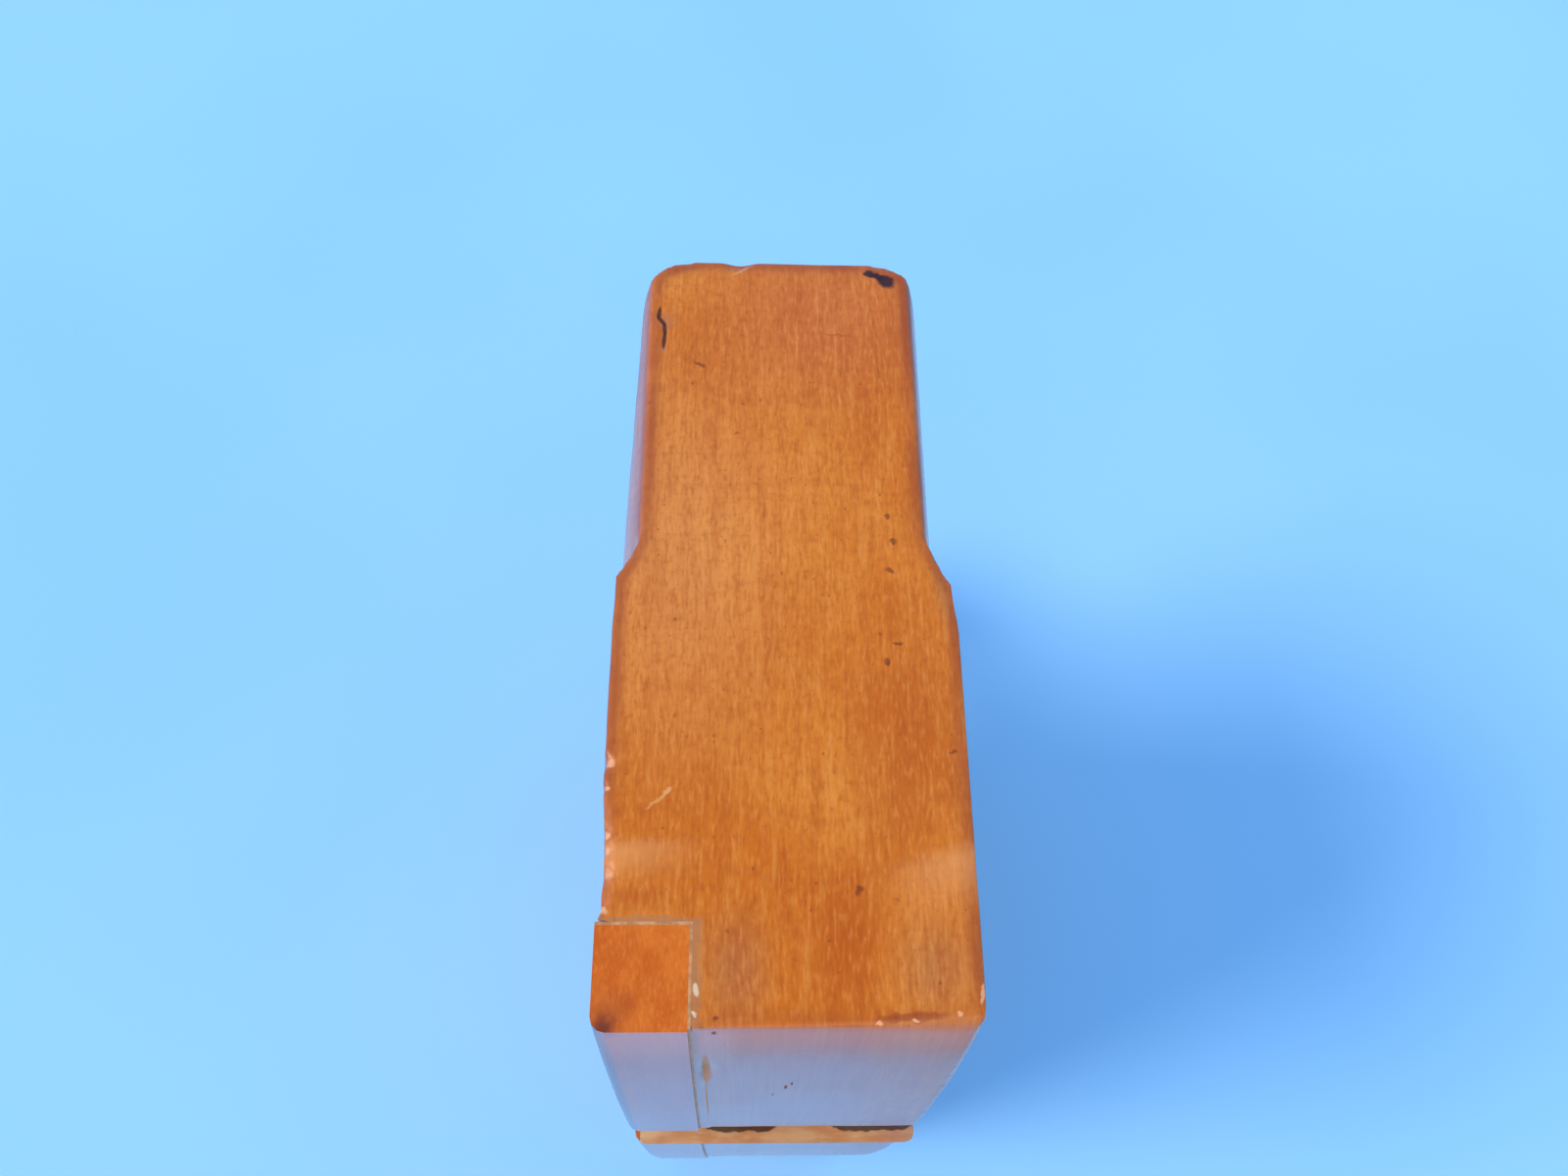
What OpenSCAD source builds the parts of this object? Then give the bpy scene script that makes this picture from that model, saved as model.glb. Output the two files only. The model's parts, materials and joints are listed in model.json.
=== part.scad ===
// Short moulding plane with a compass sole, standing on its heel: toe up, sole towards -Y.
// Millimetres. The origin is the middle of the heel face, and Z runs along the stock to the toe.

/* [Stock] */
// Length of the stock, heel to toe
stock_l = 152; // [140:1:180]
// Width of the stock across the sole
stock_w = 31.4; // [27:0.1:40]
// Height of the toe face, from the sole's edge to the back
toe_h = 76; // [68:1:90]
// Radius of the sole's lengthwise curve
sole_radius = 575; // [450:5:900]
// Radius of the worn arris on the plain side of the sole
arris_r = 0.7; // [0.4:0.1:2.5]
// Radius of the two long edges of the back
back_r = 5; // [3:0.5:7]

/* [Shoulder and end chamfers] */
// How far the plain side steps in above the shoulder
side_step = 1.5; // [0.8:0.1:2.5]
// How far the boxed side leans in between its chamfer's foot and the back
box_lean = 1.3; // [0.5:0.1:2]
// Height of the shoulder above the sole's edge at the toe
shoulder_h = 46; // [40:1:54]
// Radius of the cove that ends the side step
cove_r = 15; // [10:1:18]
// Chamfer on the boxed side: cut into the end face
box_side_inset = 2.3; // [1:0.1:3]
// Chamfer on the boxed side: run along the stock
box_side_run = 7; // [5:0.5:9]
// Chamfer on the plain side: cut into the end face
plain_side_inset = 1.2; // [0.6:0.1:2]
// Chamfer on the plain side: run along the stock
plain_side_run = 5; // [4:0.5:7]
// Radius that the chamfers are crowned to
chamfer_round = 20; // [18:1:60]
// Radius of the gouge cut that stops each chamfer
gouge_r = 9.5; // [7:0.5:12]

/* [Boxing] */
// Width of the boxing strip with its glue line
boxing_w = 7.9; // [6:0.1:10]
// Depth of the boxing strip with its glue line
boxing_h = 8.2; // [6:0.1:10]
// How far the boxing stands proud of the worn sole
boxing_proud = 0.25; // [0.1:0.05:0.6]
// Radius of the boxing's worn corner
boxing_r = 1.2; // [0.3:0.1:2]
// Thickness of the glue line round the boxing
glue_t = 0.25; // [0.2:0.05:0.8]

/* [Iron] */
// Distance of the cutting edge from the toe
edge_from_toe = 53; // [50:1:58]
// How far the cutting edge stands out of the sole
edge_out = 0.8; // [0.2:0.1:1.5]
// Pitch of the iron above the sole
pitch = 60; // [58:1:64]
// Thickness of the iron
iron_t = 3.2; // [2.5:0.1:4]
// Length of the full-width blade
blade_l = 42; // [38:1:48]
// How far the blade sits over towards the plain side
blade_shift = 0.7; // [0:0.1:1.2]
// Width of the tang
tang_w = 9.5; // [8:0.1:12]
// How far the tang stands out of the back, along its slope
tang_out = 38; // [30:1:44]
// Thickness of the steel laid on the iron's face
facing_t = 1.2; // [0.8:0.1:1.6]
// Length of the steel laid on the iron's face
facing_l = 34; // [28:1:36]
// Grinding angle of the cutting edge
bevel = 30; // [25:1:35]
// Radius of the blade's corner on the plain side
blade_corner_r = 1.6; // [0.6:0.1:2.4]

/* [Wedge] */
// Taper of the wedge
wedge_taper = 10; // [8:0.5:11]
// Distance of the wedge's tip from the cutting edge
wedge_tip_from_edge = 26; // [24:1:32]
// Thickness of the wedge at its tip
wedge_tip_t = 0.8; // [0.5:0.1:1.5]
// How far the straight part of the wedge stands out of the back
wedge_out = 22; // [18:1:26]
// Radius of the notch under the wedge's head
notch_r = 4.5; // [3:0.5:6]

/* [Mouth and throat] */
// Width of the mouth from its front edge to the cutting edge
mouth_gap = 7.4; // [6:0.1:11]
// Slope of the mouth's front wall
wear_slope = 80; // [76:1:86]
// Radius of the throat where it opens on the boxed side
throat_open_r = 15; // [12:0.5:17]
// Radius of the throat on the plain side
throat_plain_r = 10; // [8:0.5:11]
// How far the throat's axis lies up the iron
throat_up = 22; // [20:0.5:24]
// How far the throat's axis lies in front of the iron
throat_ahead = 11; // [10:0.5:12]

/* [Clearances] */
// Gap between the iron and its bed, and at the sides of the tang and the wedge
bed_gap = 0.15; // [0.1:0.05:0.3]
// Gap between the wedge and both faces that it bears on
wedge_gap = 0.1; // [0.05:0.05:0.2]
// Room above the blade's shoulders for drawing the iron back
shoulder_room = 3; // [2:0.5:5]

/* [Hidden] */
$fn = 96;
far = 200;
half_w = stock_w / 2;
grip_x = half_w - side_step;
back_y = toe_h / 2;
mid_z = stock_l / 2;
sole_drop = sole_radius - sqrt(sole_radius * sole_radius - mid_z * mid_z);
sole_axis_y = sole_radius - toe_h / 2 - sole_drop;
function sole_y(z) = sole_axis_y - sqrt(sole_radius * sole_radius - (z - mid_z) * (z - mid_z));

edge_z = stock_l - edge_from_toe;
edge_y = sole_y(edge_z) - edge_out;
function face_z(y) = edge_z - (y - edge_y) / tan(pitch);

// Distances up the iron's face, from the cutting edge
back_up = (back_y - edge_y) / sin(pitch);
tang_end = back_up + tang_out;
wedge_end = back_up + wedge_out;
slot_end = blade_l + shoulder_room;
function wedge_t(up) = wedge_tip_t + (up - wedge_tip_from_edge) * tan(wedge_taper);

blade_w = stock_w - 2 * bed_gap;
mortise_w = tang_w + 2 * bed_gap;
mortise_x = -side_step / 2;
slot_back = iron_t + bed_gap;

mouth_z = edge_z + mouth_gap;
throat_y = edge_y + throat_up * sin(pitch) + throat_ahead * cos(pitch);
throat_z = edge_z - throat_up * cos(pitch) + throat_ahead * sin(pitch);
shoulder_y = shoulder_h - back_y;
gouge_foot_y = shoulder_y - sqrt(box_side_inset * (2 * gouge_r - box_side_inset));

// A flat shape drawn in Y and Z, made into a slab across X
module across(w) { rotate([90, 0, 90]) linear_extrude(w, center = true) children(); }

// The iron's own frame: Z up its face from the cutting edge, Y from its face to its back
module iron_frame() { translate([0, edge_y, edge_z]) rotate([180 + pitch, 0, 0]) children(); }

// A ring about the sole's axis, from a flat shape drawn in radius and X
module sole_ring() {
    translate([0, sole_axis_y, mid_z]) rotate([0, 90, 0]) rotate_extrude($fn = 1440) children();
}

// What is left outside a rounded corner at the origin, for a shape that lies in -X and -Y
module corner(r) {
    difference() {
        translate([-r, -r]) square(2 * r);
        translate([-r, -r]) circle(r);
        translate([-2 * r, -2 * r]) square([2 * r, r]);
        translate([-2 * r, -2 * r]) square([r, 2 * r]);
    }
}

// Cross-section of the stock: boxed side leaning in, other side stepped in above its shoulder
module stock_section() {
    lean_x = -half_w + box_lean;
    difference() {
        translate([-half_w, -toe_h]) square([stock_w, toe_h + back_y]);
        polygon([[-half_w, gouge_foot_y], [lean_x, back_y - back_r], [lean_x, toe_h], [-stock_w, toe_h],
                 [-stock_w, gouge_foot_y]]);
        translate([lean_x, back_y]) mirror([1, 0]) corner(back_r);
        translate([grip_x, shoulder_y]) square([stock_w, toe_h]);
        translate([grip_x + cove_r, shoulder_y]) circle(cove_r);
        translate([grip_x, back_y]) corner(back_r);
    }
}

// Everything inside the sole's curve, and the sliver that wear took off its plain arris
module sole_round() {
    sole_ring() translate([sole_radius - far, -stock_w]) square([far, 2 * stock_w]);
}

module worn_arris() { sole_ring() translate([sole_radius, half_w]) corner(arris_r, $fn = 12); }

// What a crowned chamfer takes off a corner at the origin, drawn inwards in X and up in Y.
// The crown's axis lies square to the middle of the chord. A line sunk a little below the chord
// carries the cut on past the side step.
module chamfer_profile(inset, run) {
    chord = norm([inset, run]);
    inward = [run, -inset] / chord;
    axis_in = sqrt(chamfer_round * chamfer_round - chord * chord / 4);
    sunk = 0.3;
    past = side_step + 1;
    difference() {
        translate(sunk * inward) polygon([[-past, -run - past * run / inset], [-past, past],
                                          [inset + past * inset / run, past]]);
        translate([inset, -run] / 2 + axis_in * inward) circle(chamfer_round);
    }
}

// Chamfer on one upright edge of the toe, run out below in a gouge cut that laps over its end
module end_chamfer(side_x, inset, run) {
    lap = 0.1;
    intersection() {
        translate([-side_x, 0, stock_l]) rotate([90, 0, 0])
            linear_extrude(far, center = true) chamfer_profile(inset, run);
        translate([-side_x + inset + lap, 0, stock_l - far / 2]) linear_extrude(far) {
            translate([-far, shoulder_y]) square(far);
            translate([-gouge_r, shoulder_y]) circle(gouge_r);
        }
    }
}

module toe_chamfers() {
    end_chamfer(half_w, box_side_inset, box_side_run);
    mirror([1, 0, 0]) end_chamfer(grip_x, plain_side_inset, plain_side_run);
}

// Slot for the full-width blade, open at both sides
module blade_slot() {
    iron_frame() translate([-far / 2, -bed_gap, -far / 4])
        cube([far, slot_back + bed_gap, far / 4 + slot_end]);
}

// Mortise for the tang and the wedge, wider towards the back
module mortise() {
    low = wedge_tip_from_edge - 4;
    high = wedge_end + far / 2;
    iron_frame() translate([mortise_x, 0, 0]) across(mortise_w)
        polygon([[slot_back, low], [slot_back, high],
                 [-wedge_t(high) - 2 * wedge_gap, high], [-wedge_t(low) - 2 * wedge_gap, low]]);
}

// Mouth: across the whole sole, from its front wall to the iron's face
module mouth() {
    wear_z = mouth_z - (throat_y - sole_y(mouth_z)) / tan(wear_slope);
    under = edge_y - 2;
    across(far) polygon([[under, mouth_z], [sole_y(mouth_z), mouth_z], [throat_y, wear_z],
                         [throat_y, face_z(throat_y)], [under, face_z(under)]]);
}

// Throat: a cone in front of the iron that throws the shavings out on the boxed side.
// It runs on by half the stock's width past both sides.
module throat() {
    flare = (throat_open_r - throat_plain_r) / 2;
    intersection() {
        translate([0, throat_y, throat_z]) rotate([0, 90, 0])
            cylinder(h = 2 * stock_w, r1 = throat_open_r + flare, r2 = throat_plain_r - flare,
                     center = true);
        iron_frame() translate([-far / 2, -far, -far / 2]) cube([far, far, far]);
    }
}

// Corner of the sole that the boxing and its glue fill: grow moves its two inner walls
module boxing_corner(grow, below) {
    sole_ring() translate([sole_radius - boxing_h - grow, -half_w - below])
        square([boxing_h + grow + below, boxing_w + grow + below]);
}

module boxing_ring() {
    sole_ring() difference() {
        translate([sole_radius - boxing_h + glue_t, -half_w])
            square([boxing_h - glue_t + boxing_proud, boxing_w - glue_t]);
        translate([sole_radius + boxing_proud, -half_w]) mirror([0, 1]) corner(boxing_r, $fn = 12);
    }
}

module glue_ring() {
    sole_ring() translate([sole_radius - boxing_h, -half_w]) difference() {
        square([boxing_h, boxing_w]);
        translate([glue_t, -1]) square([boxing_h, boxing_w - glue_t + 1]);
    }
}

// One of the two lengths that the mouth leaves of a strip along the sole
module strip(front) {
    difference() {
        intersection() {
            children();
            translate([-far / 2, -far, front ? edge_z : 0])
                cube([far, far, front ? stock_l - edge_z : edge_z]);
        }
        mouth();
        blade_slot();
    }
}

module stock() {
    color([0.72, 0.44, 0.19]) difference() {
        intersection() {
            linear_extrude(stock_l) stock_section();
            sole_round();
        }
        worn_arris();
        boxing_corner(0, 2);
        toe_chamfers();
        translate([0, 0, stock_l]) mirror([0, 0, 1]) toe_chamfers();
        blade_slot();
        mortise();
        mouth();
        throat();
    }
}

module front_boxing() { color([0.80, 0.45, 0.14]) strip(true) boxing_ring(); }

module rear_boxing() { color([0.80, 0.45, 0.14]) strip(false) boxing_ring(); }

module front_glue_line() { color([0.78, 0.70, 0.58]) strip(true) glue_ring(); }

module rear_glue_line() { color([0.78, 0.70, 0.58]) strip(false) glue_ring(); }

// Outline of the iron, drawn in X and up its face
module iron_outline() {
    plain_x = blade_shift + blade_w / 2;
    box_x = blade_shift - blade_w / 2;
    difference() {
        union() {
            translate([box_x, 0]) square([blade_w, blade_l]);
            translate([mortise_x - tang_w / 2, 0]) square([tang_w, tang_end]);
        }
        translate([plain_x, 0]) mirror([0, 1]) corner(blade_corner_r);
        translate([box_x, 0]) rotate(180) corner(blade_corner_r / 2);
        translate([plain_x, blade_l]) corner(tang_w / 2);
        translate([box_x, blade_l]) mirror([1, 0]) corner(tang_w / 2);
        translate([mortise_x + tang_w / 2, tang_end]) corner(tang_w / 4);
        translate([mortise_x - tang_w / 2, tang_end]) mirror([1, 0]) corner(tang_w / 4);
    }
}

// A layer of the iron between two depths from its face, ground to the cutting edge
module iron_layer(from, to) {
    reach = iron_t + 1;
    difference() {
        translate([0, to, 0]) rotate([90, 0, 0]) linear_extrude(to - from) children();
        across(far) polygon([[0, 0], [reach, reach / tan(bevel)], [reach, -1], [0, -1]]);
    }
}

module facing_outline() {
    intersection() {
        iron_outline();
        translate([-far / 2, 0]) square([far, facing_l]);
    }
}

module plane_iron() {
    color([0.36, 0.32, 0.29]) iron_frame() {
        iron_layer(facing_t, iron_t) iron_outline();
        iron_layer(0, facing_t) difference() {
            iron_outline();
            facing_outline();
        }
    }
}

module steel_facing() {
    color([0.60, 0.52, 0.45]) iron_frame() iron_layer(0, facing_t) facing_outline();
}

// The wedge seen from its side, thickness in X and length in Y
module wedge_outline() {
    head_r = wedge_t(wedge_end) / 2;
    difference() {
        union() {
            polygon([[0, wedge_tip_from_edge], [wedge_tip_t, wedge_tip_from_edge],
                     [2 * head_r, wedge_end], [0, wedge_end]]);
            translate([head_r, wedge_end]) circle(head_r);
        }
        translate([2 * head_r + notch_r / 3, wedge_end - head_r / 2]) circle(notch_r);
    }
}

module wedge() {
    color([0.66, 0.40, 0.18]) iron_frame() translate([mortise_x, -wedge_gap, 0])
        across(tang_w) mirror([1, 0]) wedge_outline();
}

stock();
front_boxing();
rear_boxing();
front_glue_line();
rear_glue_line();
plane_iron();
steel_facing();
wedge();
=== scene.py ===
"""A short wooden moulding plane standing on its heel: worn meshes, finishes, light and camera."""
import json
import math

import bpy
import numpy as np
from mathutils import Euler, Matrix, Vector, noise
from mathutils.bvhtree import BVHTree


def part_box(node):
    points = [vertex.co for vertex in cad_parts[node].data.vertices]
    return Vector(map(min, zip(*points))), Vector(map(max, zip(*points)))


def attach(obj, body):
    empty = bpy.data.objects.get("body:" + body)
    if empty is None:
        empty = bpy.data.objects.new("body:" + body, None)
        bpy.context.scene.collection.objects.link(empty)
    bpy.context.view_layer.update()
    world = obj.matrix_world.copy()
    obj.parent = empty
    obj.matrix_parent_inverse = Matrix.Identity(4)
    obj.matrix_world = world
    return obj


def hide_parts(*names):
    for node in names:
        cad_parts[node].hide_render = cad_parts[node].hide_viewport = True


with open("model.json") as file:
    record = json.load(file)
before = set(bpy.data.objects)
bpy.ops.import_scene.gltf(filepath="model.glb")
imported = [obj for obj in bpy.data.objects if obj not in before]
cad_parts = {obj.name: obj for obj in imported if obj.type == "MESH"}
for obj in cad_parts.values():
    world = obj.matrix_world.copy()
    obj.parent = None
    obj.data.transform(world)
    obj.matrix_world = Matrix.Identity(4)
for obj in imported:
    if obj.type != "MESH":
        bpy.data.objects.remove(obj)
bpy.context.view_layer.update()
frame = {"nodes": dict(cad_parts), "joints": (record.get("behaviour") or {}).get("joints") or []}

MM = 0.001


def box_mm(node):
    """The low and the high corner of a CAD node's box, in millimetres."""
    return [np.array(corner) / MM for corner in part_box(node)]


def slide_axis(child):
    """The direction in which a moving body slides."""
    return next(joint["axis"] for joint in frame["joints"] if joint["child"] == child)


# Main planes in millimetres, read from the frame
STOCK_LOW, STOCK_HIGH = box_mm("stock")
LEFT_X, RIGHT_X = STOCK_LOW[0], STOCK_HIGH[0]
BACK_Y, TOE_Z = STOCK_HIGH[1], STOCK_HIGH[2]
SOLE_EDGE_Y = -BACK_Y
JOINT_X, GLUE_TOP, _ = box_mm("front_glue_line")[1]

# The iron's cutting edge and the direction up its face, and the wedge's slope
FACING_LOW, FACING_HIGH = box_mm("steel_facing")
CUTTING_EDGE = (0.0, FACING_LOW[1], FACING_HIGH[2])
UP_THE_IRON = tuple(-share for share in slide_axis("iron"))
WEDGE_SLOPE = math.atan2(-slide_axis("wedge")[2], slide_axis("wedge")[1])

# Camera, fitted to the photograph's perspective: millimetres, degrees
CAMERA_PLACE = (-4.57, -51.93, 258.27)
CAMERA_TURN = (26.19, -2.12, -0.50)
CAMERA_LENS = 29.87
SENSOR_WIDTH = 36.0


def srgb(red, green, blue):
    """A colour picked in 0 to 255, as the linear values that a shader takes."""
    shares = [value / 255 for value in (red, green, blue)]
    linear = [s / 12.92 if s <= 0.04045 else ((s + 0.055) / 1.055) ** 2.4 for s in shares]
    return (*linear, 1.0)


# Finishes
# Sockets of the Mix node that take and give colours
MIX_SHARE, MIX_A, MIX_B, MIX_RESULT = 0, 6, 7, 2


class Graph:
    """A material whose nodes are made with short calls. Its textures are laid out in millimetres.

    The functions that make the finishes call it g.
    """

    def __init__(self, name):
        self.material = bpy.data.materials.new(name)
        self.material.use_nodes = True
        self.tree = self.material.node_tree
        self.shader = self.tree.nodes["Principled BSDF"]
        surface = self.node("TexCoord", {}).outputs
        self.place = self.vector("MULTIPLY", surface["Object"], (1 / MM,) * 3)
        self.normal = surface["Normal"]

    def feed(self, socket, value):
        if isinstance(value, bpy.types.NodeSocket):
            self.tree.links.new(value, socket)
        else:
            socket.default_value = value

    def node(self, kind, inputs, **settings):
        made = self.tree.nodes.new("ShaderNode" + kind)
        for name, value in settings.items():
            setattr(made, name, value)
        for name, value in inputs.items():
            self.feed(made.inputs[name], value)
        return made

    def finish(self, **inputs):
        for name, value in inputs.items():
            self.feed(self.shader.inputs[name.replace("_", " ")], value)
        return self.material

    def math(self, operation, a, b=0.0):
        return self.node("Math", {0: a, 1: b}, operation=operation).outputs[0]

    def vector(self, operation, a, b):
        return self.node("VectorMath", {0: a, 1: b}, operation=operation).outputs[0]

    def ramp(self, value, low, high):
        """0 where value is at low, 1 where it is at high, smooth between; low may be the larger."""
        inputs = {"Value": value, "From Min": low, "From Max": high}
        return self.node("MapRange", inputs, interpolation_type="SMOOTHSTEP").outputs["Result"]

    def noise(self, place, per_mm, detail=2.0):
        """Noise from 0 to 1 with this many waves per millimetre along X, Y and Z."""
        inputs = {"Vector": self.vector("MULTIPLY", place, per_mm), "Scale": 1.0, "Detail": detail}
        return self.node("TexNoise", inputs).outputs[0]

    def mix(self, share, a, b):
        made = self.node("Mix", {}, data_type="RGBA")
        for index, value in ((MIX_SHARE, share), (MIX_A, a), (MIX_B, b)):
            self.feed(made.inputs[index], value)
        return made.outputs[MIX_RESULT]

    def scaled(self, value, by):
        return self.math("MULTIPLY", value, by)

    def attribute(self, name):
        return self.node("Attribute", {}, attribute_name=name).outputs["Fac"]

    def parts(self, place):
        return self.node("SeparateXYZ", {0: place}).outputs

    def turned(self, place, about_x):
        turn = {"Vector": place, "Rotation": (about_x, 0, 0)}
        return self.node("Mapping", turn).outputs[0]

    def local(self, place, centre, half, turn):
        """The place in a frame with this centre, turned about Z by degrees, in units of half."""
        inputs = {"Vector": place, "Location": centre, "Rotation": (0, 0, math.radians(turn)), "Scale": half}
        return self.node("Mapping", inputs, vector_type="TEXTURE").outputs[0]

    def spot(self, place, centre, half, turn=0.0, soft=0.5):
        """1 inside an ellipsoid with these half sizes, fading over its rim."""
        offset = self.local(place, centre, half, turn)
        length = self.node("VectorMath", {0: offset}, operation="LENGTH").outputs["Value"]
        return self.ramp(length, 1.0, 1.0 - soft)

    def wipe(self, place, corner, size, turn, crest=-0.3, full=0.2):
        """1 just below a line that starts at a corner, fading away along the line and downwards."""
        along, down, deep = self.parts(self.local(place, corner, size, turn))
        below = self.math("MULTIPLY", self.ramp(down, 0.0, crest), self.ramp(down, -1.0, crest))
        near = self.math("MULTIPLY", self.ramp(along, 1.0, full), self.ramp(deep, -1.0, 0.0))
        return self.math("MULTIPLY", below, near)

    def bump(self, height, depth):
        return self.node("Bump", {"Height": height, "Strength": 1.0, "Distance": depth * MM}).outputs[0]


def beech_base(g, place):
    broad = g.noise(place, (0.07, 0.05, 0.012), 2.0)
    return g.mix(g.ramp(broad, 0.35, 0.65), srgb(213, 123, 36), srgb(200, 104, 14))


# Year rings of the beech: rings per millimetre, and how far they wander
RINGS_PER_MM = 0.55
RING_WANDER = 6.0


def year_rings(g, place):
    wander = g.scaled(g.noise(place, (0.08, 0.08, 0.01), 1.0), RING_WANDER)
    depth = g.scaled(g.math("ADD", g.parts(place)[1], wander), RINGS_PER_MM)
    inputs = {"W": depth, "Scale": 1.0, "Detail": 2.0}
    return g.node("TexNoise", inputs, noise_dimensions="1D").outputs[0]


def grained(g, place, colour):
    """The colour with beech's figure, and its relief. Grain runs along Z, rays lie in sheets along Y."""
    rings = year_rings(g, place)
    fibre = g.noise(place, (1.8, 0.15, 0.05), 4.0)
    fine = g.noise(place, (3.4, 0.8, 0.08), 3.0)
    rays = g.noise(place, (0.8, 0.07, 0.04), 2.0)
    strands = g.noise(place, (1.2, 1.8, 0.025), 3.0)
    pores = g.noise(place, (2.6, 1.2, 0.06), 1.0)
    specks = g.noise(place, (1.5, 1.2, 0.12), 1.0)
    for pattern, low, high, share, shade in (
            (rings, 0.45, 0.75, 0.20, srgb(178, 86, 16)),
            (strands, 0.48, 0.72, 0.32, srgb(180, 84, 20)),
            (rays, 0.50, 0.70, 0.28, srgb(182, 86, 18)),
            (fibre, 0.50, 0.74, 0.30, srgb(228, 150, 70)),
            (fibre, 0.50, 0.26, 0.34, srgb(168, 76, 10)),
            (fine, 0.50, 0.72, 0.30, srgb(230, 152, 72)),
            (fine, 0.50, 0.28, 0.34, srgb(160, 70, 8)),
            (pores, 0.64, 0.80, 0.35, srgb(146, 62, 8)),
            (specks, 0.74, 0.80, 0.50, srgb(126, 56, 18))):
        colour = g.mix(g.scaled(g.ramp(pattern, low, high), share), colour, shade)
    return colour, g.noise(place, (0.9, 0.12, 0.1), 1.0)


# How far below and above the sole's edge the work keeps the wood polished
POLISHED_BELOW, POLISHED_ABOVE = 3.0, 5.0
# The Y of the normal where the sole starts and where it is full
SOLE_STARTS, SOLE_FULL = -0.8, -0.95
# Patina: colours, strengths, and how far behind the toe the sole takes its darker one
EDGE_PATINA, EDGE_STRENGTH = srgb(146, 58, 22), 0.75
TOE_PATINA, SOLE_PATINA, SOLE_STRENGTH = srgb(196, 104, 62), srgb(122, 62, 30), 0.6
CORNER_GRIME, CORNER_STRENGTH = srgb(100, 50, 26), 0.45
PATINA_FADE = 12.0


def worn_edge(g):
    """1 along the worn edges, and less along the sole's, which the work keeps polished."""
    y = g.parts(g.place)[1]
    off_sole = g.ramp(y, SOLE_EDGE_Y - POLISHED_BELOW, SOLE_EDGE_Y + POLISHED_ABOVE)
    return g.math("MULTIPLY", g.attribute("edge"), off_sole)


def on_sole(g):
    """1 on the faces that look straight down at the work."""
    return g.ramp(g.parts(g.normal)[1], SOLE_STARTS, SOLE_FULL)


def aged(g, colour):
    """Darker patina along worn edges and on the sole, and grime in the corners."""
    patchy = g.ramp(g.noise(g.place, (0.15, 0.08, 0.15), 3.0), 0.0, 0.7)
    edge = g.math("MULTIPLY", worn_edge(g), patchy)
    colour = g.mix(g.scaled(edge, EDGE_STRENGTH), colour, EDGE_PATINA)
    behind_toe = g.ramp(g.parts(g.place)[2], TOE_Z, TOE_Z - PATINA_FADE)
    patina = g.mix(behind_toe, TOE_PATINA, SOLE_PATINA)
    colour = g.mix(g.scaled(on_sole(g), SOLE_STRENGTH), colour, patina)
    return g.mix(g.scaled(g.attribute("corner"), CORNER_STRENGTH), colour, CORNER_GRIME)


# Roughness of the varnish where it is whole, how much it varies, and what worn edges and bare wood add
WHOLE_ROUGHNESS, ROUGHNESS_VARIES, EDGE_RUBBED, BARE_RUBBED = 0.14, 0.14, 0.22, 0.45
# Weight of its clear coat: everywhere, what more it can have, and the sole's share of that
COAT_LEAST, COAT_MORE, SOLE_SHARE = 0.6, 0.4, 0.5
WOOD_IOR, COAT_IOR, COAT_ROUGHNESS = 1.33, 1.35, 0.28
# Depth of the wood's relief, and the height above the sole's edge over which it is worn flat
RELIEF_DEPTH, RELIEF_FADE = 0.01, 2.0


def varnish(g, colour, relief, dull=0.0, rich=0.0):
    """Old polish over a fine relief: rubbed along the edges, gone where dull is 1, full where rich is 1."""
    gloss = g.noise(g.place, (0.25, 0.2, 0.1), 3.0)
    rubbed = g.math("MAXIMUM", g.scaled(worn_edge(g), EDGE_RUBBED), g.scaled(dull, BARE_RUBBED))
    whole = g.math("ADD", WHOLE_ROUGHNESS, g.scaled(gloss, ROUGHNESS_VARIES))
    gain = g.math("MAXIMUM", g.scaled(on_sole(g), SOLE_SHARE), rich)
    polish = g.math("ADD", COAT_LEAST, g.scaled(gain, COAT_MORE))
    coat = g.math("MULTIPLY", g.math("SUBTRACT", 1.0, dull), polish)
    above_sole = g.ramp(g.parts(g.place)[1], SOLE_EDGE_Y, SOLE_EDGE_Y + RELIEF_FADE)
    height = g.math("MULTIPLY", relief, above_sole)
    return g.finish(Base_Color=colour, Roughness=g.math("ADD", whole, rubbed), IOR=WOOD_IOR,
                    Coat_Weight=coat, Coat_IOR=COAT_IOR, Coat_Roughness=COAT_ROUGHNESS,
                    Normal=g.bump(height, RELIEF_DEPTH))


# Tones of the marks: colour and strength
TONES = {
    "ink": (srgb(40, 16, 30), 0.95),
    "stain": (srgb(110, 48, 16), 0.7),
    "scratch_and_highlight": (srgb(232, 172, 112), 0.45),
    # A pale painted sheen of light reflected off the toe's varnish
    "painted_gloss": (srgb(226, 154, 92), 0.45),
    "greyed": (srgb(164, 98, 58), 0.6),
    "deep": (srgb(178, 76, 0), 0.64),
    # A paler painted sheen, as of light from the boxed side
    "painted_sheen": (srgb(226, 152, 84), 0.5),
    "rosy": (srgb(184, 90, 58), 0.4),
    # Pale bare wood of chips; along the toe's lower edge it is also used for painted glints
    "chip_and_glint": (srgb(232, 166, 118), 0.8),
    "crack": (srgb(60, 26, 12), 0.9),
    "dent": (srgb(170, 108, 68), 0.5),
    "hair": (srgb(144, 68, 14), 0.5),
    "filler": (srgb(190, 128, 84), 0.95),
    "glue": (srgb(222, 202, 170), 0.8),
    "rust": (srgb(140, 56, 18), 0.6),
}
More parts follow.
